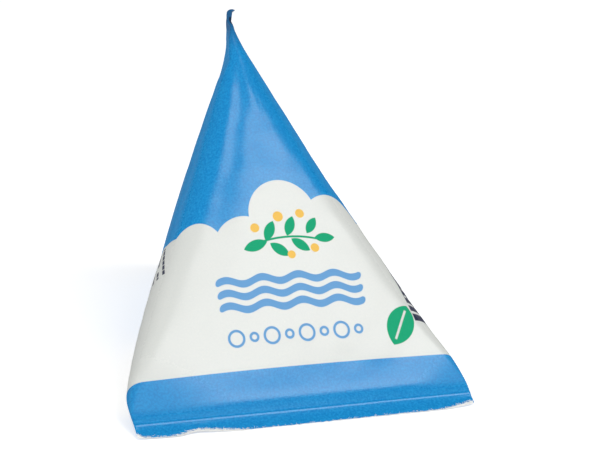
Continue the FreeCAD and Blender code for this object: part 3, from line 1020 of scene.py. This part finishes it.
def raw_edge():
    """Bare board where the paper is cut or torn: white, matt and fibrous."""
    finish, wire, shader = new_finish("raw_paper_edge", Roughness=0.95, Specular_IOR_Level=0.2)
    fibres = wire.use(board_fibres, Paper=paper_place(wire), Grain=RAW_GRAIN)
    mottle = wire.spread(fibres["Mottle"], *RAW_MOTTLE)
    wire.feed(shader["Base Color"], wire.tint(mottle, BOARD_WHITE, BOARD_WHITE_PALE))
    relief(wire, shader, fibres["Height"], *RAW_RELIEF)
    return finish


# ---------------------------------------------------------------------------
# Studio
# ---------------------------------------------------------------------------
CAMERA_AZIMUTH, CAMERA_HEIGHT, CAMERA_ROLL = 21.65, 18.475, 3.323  # degrees
CAMERA_DISTANCE = 0.29017
CAMERA_LOOKS_AT = (0.00479, -0.010, 0.01996)
CAMERA_LENS = 130.07
LAMPS_AIM_AT = (0, -0.005, 0.018)
LAMPS = (  # name, direction, distance, width and height, and how bright it looks
    ("key", (0.380, -0.563, 0.734), 0.6, (0.43, 0.24), 4.3),
    ("high_key", (0.16, -0.38, 0.91), 0.6, (0.15, 0.13), 4.2),
    ("front_fill", (-0.48, -0.84, 0.25), 0.9, (0.8, 0.8), 1.04),
)
FILL_LEFT, FILL_RIGHT = 0.70, 0.13  # strength of the all-round light from the pack's left and right
BACKDROP_TOP, CEILING_FROM, CEILING = 0.12, 0.28, 0.12  # the white backdrop gives way to a dim ceiling
FLOOR_GREY, FLOOR_GLOW = 0.86, 0.52
FLOOR_REACH = 3.0
FLOOR_DROP = 0.00002  # keeps the floor just clear of the flat that rests on it


def add_camera():
    """A long lens that looks slightly down on the pack from the left of its front."""
    turn, drop, roll = (math.radians(a) for a in (CAMERA_AZIMUTH, CAMERA_HEIGHT, CAMERA_ROLL))
    level = math.cos(drop)
    forward = Vector((math.sin(turn) * level, math.cos(turn) * level, -math.sin(drop)))
    right = Vector((math.cos(turn), -math.sin(turn), 0))
    up = right.cross(forward)
    across = math.cos(roll) * right + math.sin(roll) * up
    upward = -math.sin(roll) * right + math.cos(roll) * up
    data = bpy.data.cameras.new("camera")
    data.sensor_width = 36
    data.lens = CAMERA_LENS
    data.clip_start = 0.01
    camera = add_object("camera", data)
    place = Vector(CAMERA_LOOKS_AT) - forward * CAMERA_DISTANCE
    columns = (across, upward, -forward, place)
    rows = [[column[row] for column in columns] for row in range(3)]
    camera.matrix_world = Matrix([*rows, [0, 0, 0, 1]])
    bpy.context.scene.camera = camera


def add_lamp(name, direction, distance, size, radiance):
    """A soft rectangular lamp that faces the pack."""
    data = bpy.data.lights.new(name, "AREA")
    data.shape = "RECTANGLE"
    data.size, data.size_y = size
    data.energy = radiance * math.pi * size[0] * size[1]
    lamp = add_object(name, data)
    towards = Vector(direction).normalized()
    lamp.location = Vector(LAMPS_AIM_AT) + towards * distance
    lamp.rotation_mode = "QUATERNION"
    lamp.rotation_quaternion = towards.to_track_quat("Z", "Y")


def seen_not_lit(wire):
    """1 for what is seen directly, in a reflection or through glass, 0 for light on the object."""
    path = wire.node("ShaderNodeLightPath").outputs
    return wire.most(path["Is Camera Ray"], path["Is Glossy Ray"], path["Is Transmission Ray"])


def make_backdrop():
    """White where it is seen, with a soft all-round light that leans to the left."""
    world = bpy.data.worlds.new("studio")
    bpy.context.scene.world = world
    world.use_nodes = True
    wire = Wiring(world.node_tree)
    sky = world.node_tree.nodes["Background"].inputs
    sky["Color"].default_value = (1, 1, 1, 1)
    sideways, _, lift = wire.parts(wire.node("ShaderNodeTexCoord").outputs["Generated"])
    seen = wire.spread(lift, BACKDROP_TOP, CEILING_FROM, 1.0, CEILING)
    fill = wire.spread(sideways, -1.0, 1.0, FILL_LEFT, FILL_RIGHT)
    extra = wire.product(seen_not_lit(wire), wire.less(seen, fill))
    wire.feed(sky["Strength"], wire.total(extra, fill))


def make_floor():
    """A plain pale floor that keeps the pack's shadow."""
    mesh = bpy.data.meshes.new("floor")
    far = FLOOR_REACH
    corners = [(-far, -far, 0), (far, -far, 0), (far, far, 0), (-far, far, 0)]
    mesh.from_pydata(corners, [], [(0, 1, 2, 3)])
    floor = add_object("floor", mesh)
    floor.location.z = -FLOOR_DROP
    paint, wire, shader = new_finish(
        "studio_floor", Base_Color=(*[FLOOR_GREY] * 3, 1), Roughness=1.0, Specular_IOR_Level=0.0
    )
    wire.feed(shader["Emission Color"], (1, 1, 1, 1))
    wire.feed(shader["Emission Strength"], wire.product(seen_not_lit(wire), FLOOR_GLOW))
    mesh.materials.append(paint)


raw = raw_edge()
paper = paper_grid()
pack = make_pack_skin(paper, coated_print(), raw)
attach(pack, "root")
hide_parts("milk_pack")
fibres = make_torn_fibres(paper, raw)
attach(fibres, "root")

add_camera()
make_backdrop()
make_floor()
for lamp in LAMPS:
    add_lamp(*lamp)
bpy.context.scene.view_settings.view_transform = "Standard"
